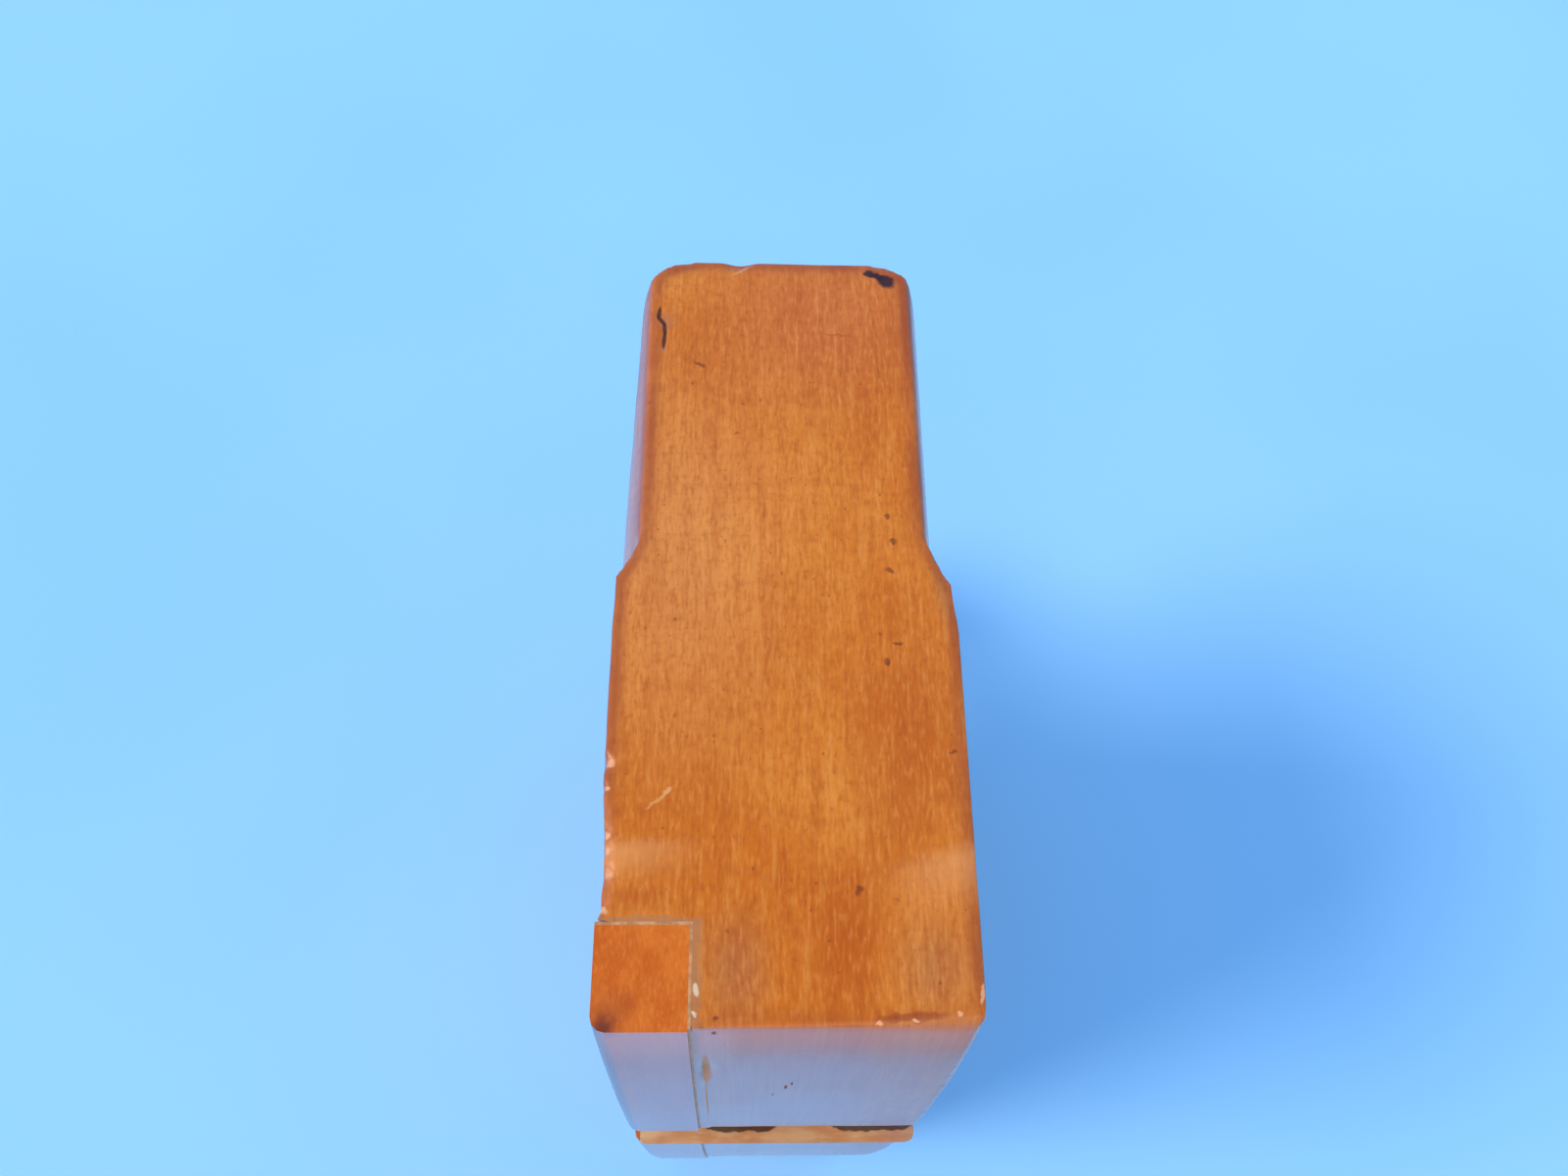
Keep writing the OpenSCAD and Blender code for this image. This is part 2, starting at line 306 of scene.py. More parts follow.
# Broad shades of the toe: tone, centre in X and Y, half sizes
TOE_SHADES = [
    ("rosy", (4.0, 31.0), (17.0, 16.0)),
    # Painted sheen: the boxed side of the toe made paler, as if lit from that side
    ("painted_sheen", (-10.0, 4.0), (14.0, 30.0)),
    ("deep", (4.6, -31.0), (5.0, 10.0)),
    ("deep", (11.0, -14.0), (8.0, 16.0)),
    ("deep", (-12.3, -27.8), (3.5, 1.8)),
    # Greyer, paler patches low on the toe
    ("greyed", (-4.3, -33.5), (4.2, 7.0)),
    ("greyed", (11.8, -33.4), (5.0, 6.5)),
]
SHADE_DEPTH = 40.0
# Marks on the toe: tone, centre in X and Y, half sizes, turn in degrees
TOE_MARKS = [
    ("rust", (9.6, -37.2), (3.6, 0.5), 3),
    ("ink", (10.6, 35.8), (1.3, 1.0), -35),
    ("ink", (9.1, 36.7), (0.8, 0.6), -20),
    ("ink", (9.8, 36.4), (0.9, 0.6), -30),
    ("dent", (-11.7, 30.2), (0.9, 1.5), 0),
    ("dent", (-12.0, 26.9), (0.6, 0.5), 0),
    ("stain", (-8.3, 25.0), (0.85, 0.24), -32),
    ("hair", (5.5, 28.8), (1.9, 0.14), -3),
    ("hair", (9.4, 24.4), (0.2, 0.9), 0),
    ("hair", (5.5, 24.3), (0.2, 0.35), 0),
    ("stain", (9.6, 7.9), (0.3, 0.25), 0),
    ("stain", (10.1, 5.3), (0.45, 0.5), 30),
    ("stain", (9.6, 2.2), (0.6, 0.35), -30),
    ("stain", (10.0, -5.1), (0.7, 0.22), 0),
    ("stain", (8.9, -6.9), (0.3, 0.45), 0),
    ("stain", (5.8, -27.2), (0.4, 0.5), 0),
    ("stain", (14.3, -15.3), (0.5, 0.25), 20),
    ("stain", (-5.9, -37.2), (0.4, 0.3), 0),
    ("scratch_and_highlight", (-10.9, -19.5), (1.7, 0.2), 40),
    ("scratch_and_highlight", (-10.2, -18.8), (0.45, 0.28), 40),
    # A painted highlight along the lower rim of the chip in the back's edge
    ("scratch_and_highlight", (-4.2, 36.9), (1.7, 0.16), 32),
    ("glue", (-7.5, -35.1), (0.35, 0.6), 15),
    ("glue", (-7.6, -36.9), (0.2, 0.25), 0),
    # Painted glints along the toe's lower edge and on its plain corner
    ("chip_and_glint", (15.3, -35.4), (0.25, 1.1), -12),
    ("chip_and_glint", (7.0, -37.6), (0.3, 0.15), 0),
    ("chip_and_glint", (9.9, -37.4), (0.35, 0.15), 0),
    ("chip_and_glint", (13.4, -36.9), (0.3, 0.15), 20),
]
MARK_DEPTH = 2.5
# Waves per millimetre and size of the raggedness of the marks' rims
RAGGED_PER_MM, RAGGED_SIZE = 1.3, 0.8
# Painted gloss on the toe's varnish, a pale sheen of reflected light: corner in X and Y, size along the line
# and down from it, turn in degrees
TOE_PAINTED_GLOSS = [((LEFT_X, -22.6), (10.0, 4.5), 3), ((RIGHT_X, -22.2), (-10.5, 7.0), 15)]
# Chips along the toe's boxed edge: Y, half size, depth
CHIPS = [(-16.3, 0.75, 0.4), (-18.6, 0.4, 0.25), (-22.6, 0.6, 0.35), (-23.9, 0.7, 0.5), (-25.9, 1.0, 0.5),
         (-28.8, 0.6, 0.4)]
# The bare wood in a chip: distance in from the edge, length against its width, depth
CHIP_INSET, CHIP_LENGTH, CHIP_DEPTH = 0.4, 0.8, 1.0
# The crack by the boxed chamfer: points in X and Y, half width
CRACK = [(-12.5, 31.8), (-12.6, 30.8), (-12.0, 29.9), (-11.9, 28.8), (-12.0, 27.1)]
CRACK_HALF = 0.28
# Marks on the sole: tone, centre in X and Z, half sizes; the first is a filled void
VOID = (-6.8, 138.4)
SOLE_MARKS = [
    ("filler", VOID, (0.45, 7.0)),
    ("filler", (-6.9, 124.0), (0.12, 13.0)),
    ("stain", (0.4, 131.0), (0.2, 1.1)),
    ("stain", (0.9, 132.5), (0.14, 0.8)),
    ("stain", (-0.7, 127.6), (0.1, 0.7)),
    ("stain", (-6.0, 150.6), (0.35, 0.8)),
]
SOLE_MARK_Y = SOLE_EDGE_Y - 2.0
SOLE_REACH = 4.0


def toned(g, colour, masks):
    for tone, mask in masks:
        shade, strength = TONES[tone]
        colour = g.mix(g.scaled(mask, strength), colour, shade)
    return colour


def crack_masks(g):
    masks = []
    for (x0, y0), (x1, y1) in zip(CRACK, CRACK[1:]):
        middle = ((x0 + x1) / 2, (y0 + y1) / 2, TOE_Z)
        half = (math.hypot(x1 - x0, y1 - y0) / 2 + 2 * CRACK_HALF, CRACK_HALF, MARK_DEPTH)
        turn = math.degrees(math.atan2(y1 - y0, x1 - x0))
        masks.append(("crack", g.spot(g.place, middle, half, turn)))
    return masks


def marked(g, colour):
    """The stains, scratches, chips and cracks that the photograph shows on the toe."""
    waves = {"Vector": g.place, "Scale": RAGGED_PER_MM, "Detail": 2.0}
    warp = g.vector("SUBTRACT", g.node("TexNoise", waves).outputs["Color"], (0.5,) * 3)
    ragged = g.vector("ADD", g.place, g.vector("MULTIPLY", warp, (RAGGED_SIZE, RAGGED_SIZE, 0)))
    masks = []
    # Patches of painted sheen below a line on the toe
    for corner, size, turn in TOE_PAINTED_GLOSS:
        masks.append(("painted_gloss", g.wipe(ragged, (*corner, TOE_Z), (*size, MARK_DEPTH), turn)))
    for tone, centre, half, turn in TOE_MARKS:
        masks.append((tone, g.spot(ragged, (*centre, TOE_Z), (*half, MARK_DEPTH), turn)))
    for y, half, _ in CHIPS:
        centre = (LEFT_X + CHIP_INSET, y, TOE_Z)
        masks.append(("chip_and_glint", g.spot(ragged, centre, (half, half * CHIP_LENGTH, CHIP_DEPTH))))
    return toned(g, colour, masks + crack_masks(g))


def shaded_toe(g, colour):
    """The colour with the toe's broad tones: deeper and rosier areas, greyer patches, and a paler painted
    sheen towards the boxed side.
    """
    return toned(g, colour, [(tone, g.spot(g.place, (*centre, TOE_Z), (*half, SHADE_DEPTH), 0, 1.0))
                             for tone, centre, half in TOE_SHADES])


# Glue wiped over the stock beside the boxing: colour, strength, width, how soft its two rims are
SMEAR_COLOUR, SMEAR_STRENGTH = srgb(168, 116, 78), 0.65
SMEAR_WIDTH = 1.1
SMEAR_SIDE_SOFT, SMEAR_TOP_SOFT = 0.8, 0.3
# Where it ends behind the toe, and where it is still whole
SMEAR_END, SMEAR_WHOLE = 12.0, 4.0


def glue_smear(g):
    """1 in the ragged band of glue that was wiped over the stock beside the boxing."""
    ragged = g.math("SUBTRACT", g.noise(g.place, (0.9, 0.9, 0.15), 3.0), 0.5)
    x, y, z = g.parts(g.place)
    side, top = JOINT_X + SMEAR_WIDTH, GLUE_TOP + SMEAR_WIDTH / 2
    beside = g.ramp(g.math("ADD", x, ragged), side, side - SMEAR_SIDE_SOFT)
    above = g.ramp(g.math("ADD", y, ragged), top, top - SMEAR_TOP_SOFT)
    by_toe = g.ramp(z, TOE_Z - SMEAR_END, TOE_Z - SMEAR_WHOLE)
    return g.math("MULTIPLY", by_toe, g.math("MULTIPLY", beside, above))


def sole_masks(g):
    """Where the marks on the sole lie, which have lost their varnish."""
    return [(tone, g.spot(g.place, (x, SOLE_MARK_Y, z), (half_x, SOLE_REACH, half_z)))
            for tone, (x, z), (half_x, half_z) in SOLE_MARKS]


# The dull front of the sole: strength, where it starts and is full behind the toe, width of its fade in X
FRONT_DULL, FRONT_STARTS, FRONT_FULL, FRONT_SIDE = 0.35, 14.0, 2.0, 5.0
PLAIN_SIDE_DULL = 0.2
SMEAR_DULL = 0.2


def bare_wood(g, smear, sole_marks):
    """How much of the varnish is gone: all of it in the sole's marks, some on the sole's handled front."""
    x, _, z = g.parts(g.place)
    near_toe = g.ramp(z, TOE_Z - FRONT_STARTS, TOE_Z - FRONT_FULL)
    front = g.math("MULTIPLY", near_toe, g.ramp(x, JOINT_X, JOINT_X + FRONT_SIDE))
    to_plain_side = g.scaled(g.ramp(x, 0.0, RIGHT_X), PLAIN_SIDE_DULL)
    handled = g.math("ADD", g.scaled(front, FRONT_DULL), to_plain_side)
    dull = g.math("ADD", g.scaled(smear, SMEAR_DULL), g.math("MULTIPLY", handled, on_sole(g)))
    for _, mask in sole_marks:
        dull = g.math("MAXIMUM", dull, mask)
    return dull


# The toe's boxed chamfer: X and Z of its normal where it starts and where it is full, and the colour and
# strength of the painted shade that darkens it
CHAMFER_X, CHAMFER_Z = (-0.75, -0.88), (0.1, 0.25)
CHAMFER_SHADE, CHAMFER_SHADE_STRENGTH = srgb(96, 52, 50), 0.4


def boxed_chamfer(g):
    """1 on the toe's chamfer above the boxing."""
    aside, _, up = g.parts(g.normal)
    return g.math("MULTIPLY", g.ramp(aside, *CHAMFER_X), g.ramp(up, *CHAMFER_Z))


def stock_finish():
    g = Graph("varnished_beech")
    colour, relief = grained(g, g.place, shaded_toe(g, beech_base(g, g.place)))
    smear = glue_smear(g)
    colour = aged(g, g.mix(g.scaled(smear, SMEAR_STRENGTH), colour, SMEAR_COLOUR))
    sole_marks = sole_masks(g)
    colour = toned(g, marked(g, colour), sole_marks)
    chamfer = boxed_chamfer(g)
    # Painted shade on the boxed chamfer, which stands for it being less lit
    colour = g.mix(g.scaled(chamfer, CHAMFER_SHADE_STRENGTH), colour, CHAMFER_SHADE)
    return varnish(g, colour, relief, bare_wood(g, smear, sole_marks), chamfer)


def wedge_finish():
    g = Graph("wedge_beech")
    along = g.turned(g.place, WEDGE_SLOPE - math.pi / 2)
    colour, relief = grained(g, along, beech_base(g, along))
    return varnish(g, aged(g, colour), relief)


# Stains on the boxing's end: centre in X and Y, half size, strength, colour
BOXING_STAINS = [
    ((-13.6, -36.6), 2.6, 0.5, srgb(140, 58, 28)),
    ((-14.0, -37.4), 1.4, 0.8, srgb(80, 28, 30)),
    ((-12.1, -35.4), 1.2, 0.4, srgb(150, 52, 8)),
]
# How far noise pushes the stains about, and their height against their width
STAIN_WARP = 1.2
STAIN_HEIGHT = 1.3
# The boxing's rounded corner: X and Y of its normal where it starts and where it is full, and the colour and
# strength of the painted shade that darkens it
ROUNDING_X, ROUNDING_Y = (-0.02, -0.2), (-0.2, -0.5)
ROUNDING_SHADE, ROUNDING_SHADE_STRENGTH = srgb(24, 18, 34), 0.85


def boxing_finish():
    g = Graph("boxing_hardwood")
    fine = g.noise(g.place, (5.0, 1.6, 0.3), 3.0)
    broad = g.noise(g.place, (0.45, 0.3, 0.03), 3.0)
    colour = g.mix(g.ramp(broad, 0.3, 0.7), srgb(212, 108, 26), srgb(196, 90, 10))
    colour = g.mix(g.scaled(g.ramp(fine, 0.45, 0.75), 0.4), colour, srgb(226, 134, 60))
    colour = g.mix(g.scaled(g.ramp(fine, 0.45, 0.25), 0.3), colour, srgb(172, 74, 8))
    warped = g.vector("ADD", g.place, g.scaled(g.noise(g.place, (1.2, 1.2, 1.2), 2.0), STAIN_WARP))
    for (x, y), half, strength, shade in BOXING_STAINS:
        centre = (x, y, TOE_Z + STAIN_WARP / 2)
        stain = g.spot(warped, centre, (half, half * STAIN_HEIGHT, MARK_DEPTH), 0, 1.0)
        colour = g.mix(g.scaled(stain, strength), colour, shade)
    aside, down, _ = g.parts(g.normal)
    # Painted shade on the boxing's rounded corner
    rounding_shade = g.math("MULTIPLY", g.ramp(aside, *ROUNDING_X), g.ramp(down, *ROUNDING_Y))
    colour = g.mix(g.scaled(rounding_shade, ROUNDING_SHADE_STRENGTH), colour, ROUNDING_SHADE)
    return varnish(g, aged(g, colour), broad)


GLUE_RELIEF = 0.1


def glue_finish():
    g = Graph("old_hide_glue")
    lumps = g.noise(g.place, (0.9, 0.9, 0.5), 3.0)
    colour = g.mix(g.ramp(lumps, 0.35, 0.65), srgb(170, 114, 70), srgb(204, 148, 98))
    roughness = g.math("ADD", 0.3, g.scaled(lumps, 0.3))
    return g.finish(Base_Color=colour, Roughness=roughness, Normal=g.bump(lumps, GLUE_RELIEF))


IRON_RELIEF = 0.06


def iron_finish():
    g = Graph("wrought_iron")
    bloom = g.noise(g.place, (0.35, 0.35, 0.35), 5.0)
    grit = g.noise(g.place, (2.5, 2.5, 2.5), 4.0)
    colour = g.mix(g.ramp(bloom, 0.35, 0.65), srgb(74, 62, 56), srgb(120, 84, 62))
    colour = g.mix(g.scaled(g.ramp(grit, 0.55, 0.75), 0.5), colour, srgb(52, 40, 36))
    metallic = g.math("SUBTRACT", 0.9, g.scaled(bloom, 0.5))
    roughness = g.math("ADD", 0.35, g.scaled(grit, 0.35))
    return g.finish(Base_Color=colour, Metallic=metallic, Roughness=roughness,
                    Normal=g.bump(grit, IRON_RELIEF))


# Up the iron's face from its edge: where the warm orange tone ends and is full, and where the painted
# shadow of the mouth's front edge starts, how soft it starts, where it thins out and where it ends
WARM_END, WARM_FULL = 7.0, 3.5
LIT_WIDTH, SHADOW_SOFT, SHADOW_THINS, SHADOW_END = 2.9, 0.3, 3.5, 6.5
# Where the painted shadow comes lower: X, half width; and how soft that is outwards and inwards
LOW_SHADOW = [(-3.0, 4.2), (12.1, 4.5)]
LOW_OUTER, LOW_INNER = 0.8, 1.2
SHADOW_RAGGED, SHADOW_STRENGTH = 1.2, 0.85
# The darker end of the edge on the plain side: distances from the stock's side, colour, strength
END_STARTS, END_FULL = 6.0, 1.0
END_COLOUR, END_STRENGTH = srgb(190, 106, 84), 0.5
STEEL_RELIEF = 0.01


def from_edge(g):
    """Distance up the iron's face from its cutting edge."""
    offset = g.vector("SUBTRACT", g.place, CUTTING_EDGE)
    return g.node("VectorMath", {0: offset, 1: UP_THE_IRON}, operation="DOT_PRODUCT").outputs["Value"]


def iron_painted_shadow(g):
    """1 in the painted shadow that the mouth's front edge casts across the iron's face, above the lit width
    along its edge.
    """
    ragged = g.scaled(g.noise(g.place, (0.5, 0.5, 0.5), 3.0), SHADOW_RAGGED)
    across = g.math("ADD", g.parts(g.place)[0], ragged)
    low = 0.0
    for x, half in LOW_SHADOW:
        aside = g.math("ABSOLUTE", g.math("SUBTRACT", across, x))
        low = g.math("MAXIMUM", low, g.ramp(aside, half + LOW_OUTER, half - LOW_INNER))
    rise = g.math("ADD", g.math("ADD", from_edge(g), ragged), low)
    starts = g.ramp(rise, LIT_WIDTH, LIT_WIDTH + SHADOW_SOFT)
    return g.math("MULTIPLY", starts, g.ramp(rise, SHADOW_END, SHADOW_THINS))


def steel_finish():
    g = Graph("tarnished_steel")
    scratches = g.noise(g.place, (0.4, 3.0, 3.0), 3.0)
    tarnish = g.noise(g.place, (0.25, 0.5, 0.5), 4.0)
    # A warm orange tone along the cutting edge
    warm = g.ramp(from_edge(g), WARM_END, WARM_FULL)
    warm_tone = g.mix(g.ramp(tarnish, 0.35, 0.65), srgb(250, 196, 140), srgb(232, 160, 100))
    grey = g.mix(g.ramp(tarnish, 0.35, 0.65), srgb(168, 160, 150), srgb(128, 112, 98))
    colour = g.mix(warm, grey, warm_tone)
    colour = g.mix(g.scaled(g.ramp(scratches, 0.5, 0.75), 0.4), colour, srgb(250, 214, 176))
    plain_end = g.ramp(g.parts(g.place)[0], RIGHT_X - END_STARTS, RIGHT_X - END_FULL)
    colour = g.mix(g.scaled(plain_end, END_STRENGTH), colour, END_COLOUR)
    # Painted shadow of the mouth's front edge, dark across the iron's face
    colour = g.mix(g.scaled(iron_painted_shadow(g), SHADOW_STRENGTH), colour, srgb(58, 34, 30))
    metallic = g.math("SUBTRACT", 0.85, g.scaled(warm, 0.5))
    roughness = g.math("ADD", 0.38, g.scaled(tarnish, 0.25))
    return g.finish(Base_Color=colour, Metallic=metallic, Roughness=roughness,
                    Normal=g.bump(scratches, STEEL_RELIEF))


def floor_finish():
    g = Graph("pale_sheet")
    folds = g.noise(g.place, (0.006, 0.006, 0.006), 2.0)
    colour = g.mix(g.ramp(folds, 0.3, 0.7), srgb(150, 207, 255), srgb(143, 202, 255))
    return g.finish(Base_Color=colour, Roughness=0.9, Specular_IOR_Level=0.1)


# Worn meshes
def neighbour_mean(values, ends, counts):
    """Mean of each vertex's neighbours' values along the mesh's edges."""
    total = np.zeros_like(values)
    for a, b in ((0, 1), (1, 0)):
        for axis in range(values.shape[1]):
            total[:, axis] += np.bincount(ends[:, a], values[ends[:, b], axis], len(values))
    return total / counts[:, None]


def read_vertices(mesh, quality):
    """The vertices' places or normals, as rows of X, Y and Z."""
    values = np.empty(len(mesh.vertices) * 3, np.float32)
    mesh.vertices.foreach_get(quality, values)
    return values.reshape(-1, 3).astype(float)


def read_edges(mesh):
    ends = np.empty(len(mesh.edges) * 2, np.int32)
    mesh.edges.foreach_get("vertices", ends)
    return ends.reshape(-1, 2)


def write_points(mesh, points):
    mesh.vertices.foreach_set("co", (points * MM).astype(np.float32).ravel())
    mesh.update()


# Smoothing passes that round the edges, and passes times the voxel's area that spread their wear
WEAR_STEPS = 4
EDGE_SPREAD = 1.6
# What turns the bend of the surface into a share from 0 to 1
BEND_GAIN = 50
# Wear of the faces and, more, of the edges: depth, length of its waves; and the second noise's offset
FACE_WEAR, FACE_WAVE = 0.04, 16
EDGE_WEAR, EDGE_WAVE, EDGE_OFFSET = 0.08, 4, 7.0
# The angle past which an edge is shaded sharp, in degrees
SHARP_ANGLE = 35
# Vertices nearer than this are joined, and the size of the cells that each worn mesh is made from
WELD_GAP = 0.001
STOCK_VOXEL, WEDGE_VOXEL = 0.4, 0.25


def roundness(points, normals, ends, counts, kept, voxel):
    """How sharply the surface bends at each vertex, spread over a millimetre or two: positive on edges."""
    bend = ((points - neighbour_mean(points, ends, counts)) * normals).sum(1)[:, None] / voxel
    bend[kept] = 0
    for _ in range(int(EDGE_SPREAD / voxel ** 2)):
        bend = (bend + neighbour_mean(bend, ends, counts)) / 2
    return bend[:, 0]


def rough(points, length, offset=0.0):
    """Smooth noise from 0 to 1 with waves of about this length."""
    return np.array([noise.noise(Vector(p) / length + Vector((offset,) * 3)) for p in points]) * 0.5 + 0.5


def hollow(points, centre, radii, depth):
    """Depth at each point of a smooth hollow with these half sizes."""
    apart = (((points - np.array(centre)) / np.array(radii)) ** 2).sum(1)
    return depth * np.clip(1 - apart, 0, 1) ** 2


def groove(points, path, width, depth):
    """Depth at each point of a groove along a path of 3-D points."""
    nearest = np.full(len(points), np.inf)
    for start, end in zip(path, path[1:]):
        start, along = np.array(start), np.array(end) - np.array(start)
        share = np.clip((points - start) @ along / (along @ along), 0, 1)
        nearest = np.minimum(nearest, np.linalg.norm(points - start - share[:, None] * along, axis=1))
    return depth * np.clip(1 - nearest / width, 0, 1)


def surface_of(node):
    mesh = frame["nodes"][node].data
    return BVHTree.FromPolygons([v.co for v in mesh.vertices], [p.vertices for p in mesh.polygons])


def snapped(points, node):
    """The points moved to the nearest place on a CAD node's own surface."""
    tree = surface_of(node)
    return np.array([tree.find_nearest(Vector(p) * MM)[0] for p in points]) / MM


def planed(points, through, normal, soft=0.25):
    """The points with what stands out past a plane taken off, and the plane's rim eased."""
    normal = np.array(normal) / np.linalg.norm(normal)
    out = (points - np.array(through)) @ normal
    return points - normal * ((out + np.hypot(out, soft)) / 2)[:, None]


def remeshed(node, voxel):
    """A copy of a CAD node, meshed evenly and finely."""
    piece = bpy.data.objects.new(node + "_worn", frame["nodes"][node].data.copy())
    bpy.context.scene.collection.objects.link(piece)
    piece.modifiers.new("weld", "WELD").merge_threshold = WELD_GAP * MM
    remesh = piece.modifiers.new("remesh", "REMESH")
    remesh.mode = "VOXEL"
    remesh.voxel_size = voxel * MM
    mesh = bpy.data.meshes.new_from_object(piece.evaluated_get(bpy.context.evaluated_depsgraph_get()))
    piece.modifiers.clear()
    piece.data = mesh
    return piece


def wear_down(mesh, node, voxel, damage, sheltered):
    """Round a mesh's edges and dent it, inwards only. Its edge and corner shares go in attributes."""
    ends = read_edges(mesh)
    points = snapped(read_vertices(mesh, "co") / MM, node)
    counts = np.bincount(ends.ravel(), minlength=len(points)).astype(float)
    kept = sheltered(points) if sheltered else np.zeros(len(points), bool)
    for _ in range(WEAR_STEPS):
        points[~kept] = ((points + neighbour_mean(points, ends, counts)) / 2)[~kept]
    write_points(mesh, points)
    normals = read_vertices(mesh, "normal")
    bend = roundness(points, normals, ends, counts, kept, voxel) * BEND_GAIN
    edge, corner = np.clip(bend, 0, 1), np.clip(-bend, 0, 1)
    wear = FACE_WEAR * rough(points, FACE_WAVE)
    wear += EDGE_WEAR * edge * rough(points, EDGE_WAVE, EDGE_OFFSET) ** 2
    points -= normals * np.where(kept, 0, wear)[:, None]
    if damage:
        points = damage(points, normals)
    write_points(mesh, np.clip(points, *box_mm(node)))
    for name, values in (("edge", edge), ("corner", corner)):
        mesh.attributes.new(name, "FLOAT", "POINT").data.foreach_set("value", values.astype(np.float32))


def worn_piece(node, body, material, voxel, damage=None, sheltered=None):
    """A finely meshed copy of a CAD node with its edges worn round, which stands for the node."""
    piece = remeshed(node, voxel)
    mesh = piece.data
    wear_down(mesh, node, voxel, damage, sheltered)
    mesh.materials.clear()
    mesh.materials.append(material)
    mesh.shade_smooth()
    mesh.set_sharp_from_angle(angle=math.radians(SHARP_ANGLE))
    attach(piece, body)
    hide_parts(node)


# How far from the joint with the boxing wear can't reach
SHELTER = 0.8
# Height of the rebate's worn rim that is brought out flush, and how near the joint it is looked for
LIP = 0.5
RIM_NEAR = 0.05
# Dents in the stock: centre, half sizes, depth. The first is in the back's edge, the second is the worn
# stretch of the boxed edge, the third is the sole's void, and the last two are the shoulder's ends
SHOULDER_Y = 0.9
SHOULDER_HALF = (2.5, 5.0, 6.0)
DENTS = [
    ((-4.4, BACK_Y, TOE_Z), (2.0, 1.5, 1.2), 0.3),
    ((LEFT_X, -26.0, TOE_Z), (1.5, 9.0, 8.0), 0.4),
    ((VOID[0], SOLE_EDGE_Y - 2.5, VOID[1]), (0.8, 2.5, 4.5), 0.5),
    ((LEFT_X, SHOULDER_Y, TOE_Z), SHOULDER_HALF, 0.12),
    ((RIGHT_X, SHOULDER_Y, TOE_Z), SHOULDER_HALF, 0.45),
]
# The hollow of a chip: half sizes in X and Y against the chip's own, half size in Z
HOLLOW_X, HOLLOW_Y, HOLLOW_Z = 1.6, 1.3, 1.2
CRACK_WIDTH, CRACK_DEPTH = 0.7, 0.15
# Planes worn on the plain corner of the toe: normal, depth at the corner
CORNER_CUTS = [
    ((0.05, -0.55, 0.85), 0.55),
    ((0.04, -0.85, 0.5), 0.55),
    ((0.7, -0.7, 0.106), 0.6),
    ((0.95, -0.35, 0.08), 0.25),
]


def by_boxing(points):
    """Which points lie along the joint with the boxing, where wear can't reach."""
    return (points[:, 0] < JOINT_X + SHELTER) & (points[:, 1] < GLUE_TOP + SHELTER)


def stock_damage(points, normals):
    """Chips, dents and wear that the photograph shows on the stock."""
    depth = groove(points, [(x, y, TOE_Z) for x, y in CRACK], CRACK_WIDTH, CRACK_DEPTH)
    for y, half, deep in CHIPS:
        radii = (half * HOLLOW_X, half * HOLLOW_Y, HOLLOW_Z)
        depth += hollow(points, (LEFT_X, y, TOE_Z), radii, deep)
    for centre, radii, deep in DENTS:
        depth += hollow(points, centre, radii, deep)
    points = lipped(points - normals * depth[:, None])
    plain_corner = np.array((RIGHT_X, SOLE_EDGE_Y, TOE_Z))
    for normal, cut in CORNER_CUTS:
        points = planed(points, plain_corner - cut * np.array(normal), normal)
    return points


def lipped(points):
    """The points with the rebate's rim brought out flush, so that no groove is left beside the glue."""
    beside = by_boxing(points)
    points[beside & (points[:, 2] > TOE_Z - LIP), 2] = TOE_Z
    tree = surface_of("stock")
    for index in np.flatnonzero(beside & (np.abs(points[:, 0] - JOINT_X) < RIM_NEAR)):
        x, y, z = points[index]
        under_sole = Vector((x + RIM_NEAR, 2 * SOLE_EDGE_Y, z))
        hit = tree.ray_cast(under_sole * MM, Vector((0, 1, 0)))[0]
        if hit and y < hit.y / MM + LIP:
            points[index, 1] = hit.y / MM
    return points


# The boxing's broken edges: width, and the angle past which an edge counts as sharp
BROKEN_EDGE, BROKEN_ANGLE = 0.05, 40


def carried(node, material, broken_edge=None):
    """Give a CAD node that shows as it is its own finish, with its sharp edges broken where asked."""
    piece = frame["nodes"][node]
    piece.data.materials.clear()
    piece.data.materials.append(material)
    if broken_edge:
        bevel = piece.modifiers.new("broken_edges", "BEVEL")
        bevel.width = broken_edge * MM
        bevel.segments = 2
        bevel.limit_method = "ANGLE"
        bevel.angle_limit = math.radians(BROKEN_ANGLE)


def dress_plane():
    boxing, glue = boxing_finish(), glue_finish()
    worn_piece("stock", "stock", stock_finish(), STOCK_VOXEL, stock_damage, by_boxing)
    worn_piece("wedge", "wedge", wedge_finish(), WEDGE_VOXEL)
    for end in ("front", "rear"):
        carried(end + "_boxing", boxing, BROKEN_EDGE)
        carried(end + "_glue_line", glue)
    carried("plane_iron", iron_finish())
    carried("steel_facing", steel_finish())


# Stage, in metres and degrees
FLOOR_HALF = 3.0
LIGHT_TARGET = (0, 0, 0.1)
WARM_WHITE = (1.0, 0.82, 0.66)
KEY_PLACE, KEY_STRENGTH, KEY_ANGLE = (-0.62, -0.13, 0.75), 2.6, 22
FILL_PLACE, FILL_POWER, FILL_SIZE = (0.05, -0.70, 0.90), 2.2, 0.8
# The dome's colour, and its strength at the horizon and overhead
SKY_BLUE = (0.38, 0.65, 1.0, 1.0)
HORIZON, ZENITH = 1.7, 0.45
# The nearest and the farthest thing that the camera sees
NEAR, FAR = 0.01, 20.0


def aim(thing, at):
    direction = Vector(at) - thing.location
    thing.rotation_euler = direction.to_track_quat("-Z", "Y").to_euler()


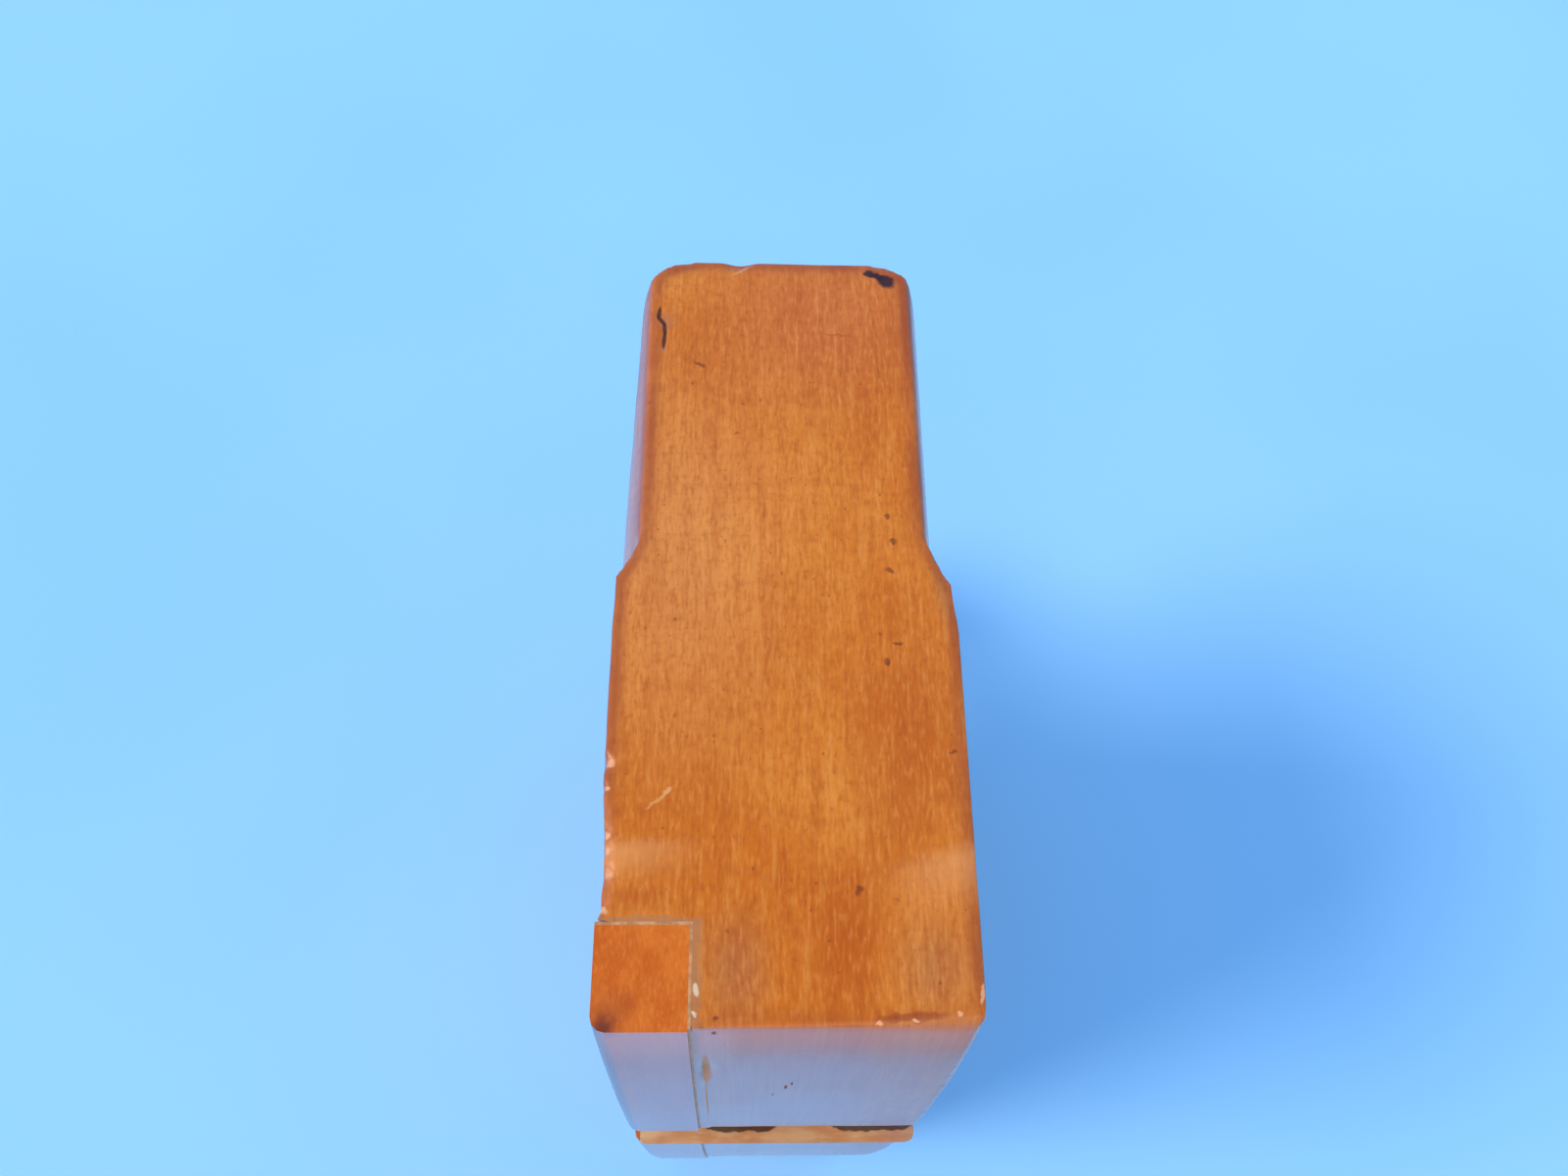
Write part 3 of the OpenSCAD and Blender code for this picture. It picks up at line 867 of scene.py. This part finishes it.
def add_light(name, kind, place, **settings):
    lamp = bpy.data.lights.new(name, kind)
    lamp.color = WARM_WHITE
    for setting, value in settings.items():
        setattr(lamp, setting, value)
    light = bpy.data.objects.new(name, lamp)
    light.location = place
    bpy.context.scene.collection.objects.link(light)
    aim(light, LIGHT_TARGET)


def set_sky():
    """A soft dome of light, brighter round the horizon than overhead."""
    world = bpy.data.worlds.new("sky")
    world.use_nodes = True
    nodes, links = world.node_tree.nodes, world.node_tree.links
    split = nodes.new("ShaderNodeSeparateXYZ")
    level = nodes.new("ShaderNodeMapRange")
    level.inputs["To Min"].default_value = HORIZON
    level.inputs["To Max"].default_value = ZENITH
    links.new(nodes.new("ShaderNodeTexCoord").outputs["Generated"], split.inputs[0])
    links.new(split.outputs["Z"], level.inputs["Value"])
    links.new(level.outputs["Result"], nodes["Background"].inputs["Strength"])
    nodes["Background"].inputs["Color"].default_value = SKY_BLUE
    bpy.context.scene.world = world


def set_stage():
    corners = [(-FLOOR_HALF, -FLOOR_HALF, 0), (FLOOR_HALF, -FLOOR_HALF, 0),
               (FLOOR_HALF, FLOOR_HALF, 0), (-FLOOR_HALF, FLOOR_HALF, 0)]
    mesh = bpy.data.meshes.new("floor")
    mesh.from_pydata(corners, [], [(0, 1, 2, 3)])
    mesh.materials.append(floor_finish())
    floor = bpy.data.objects.new("floor", mesh)
    bpy.context.scene.collection.objects.link(floor)

    set_sky()
    add_light("key", "SUN", KEY_PLACE, energy=KEY_STRENGTH, angle=math.radians(KEY_ANGLE))
    add_light("fill", "AREA", FILL_PLACE, energy=FILL_POWER, shape="DISK", size=FILL_SIZE)


def set_camera():
    lens = bpy.data.cameras.new("photo_camera")
    lens.lens, lens.sensor_width, lens.sensor_fit = CAMERA_LENS, SENSOR_WIDTH, "HORIZONTAL"
    lens.clip_start, lens.clip_end = NEAR, FAR
    camera = bpy.data.objects.new("photo_camera", lens)
    camera.location = Vector(CAMERA_PLACE) * MM
    camera.rotation_euler = Euler([math.radians(a) for a in CAMERA_TURN])
    bpy.context.scene.collection.objects.link(camera)
    bpy.context.scene.camera = camera
    bpy.context.scene.view_settings.view_transform = "Standard"


dress_plane()
set_stage()
set_camera()
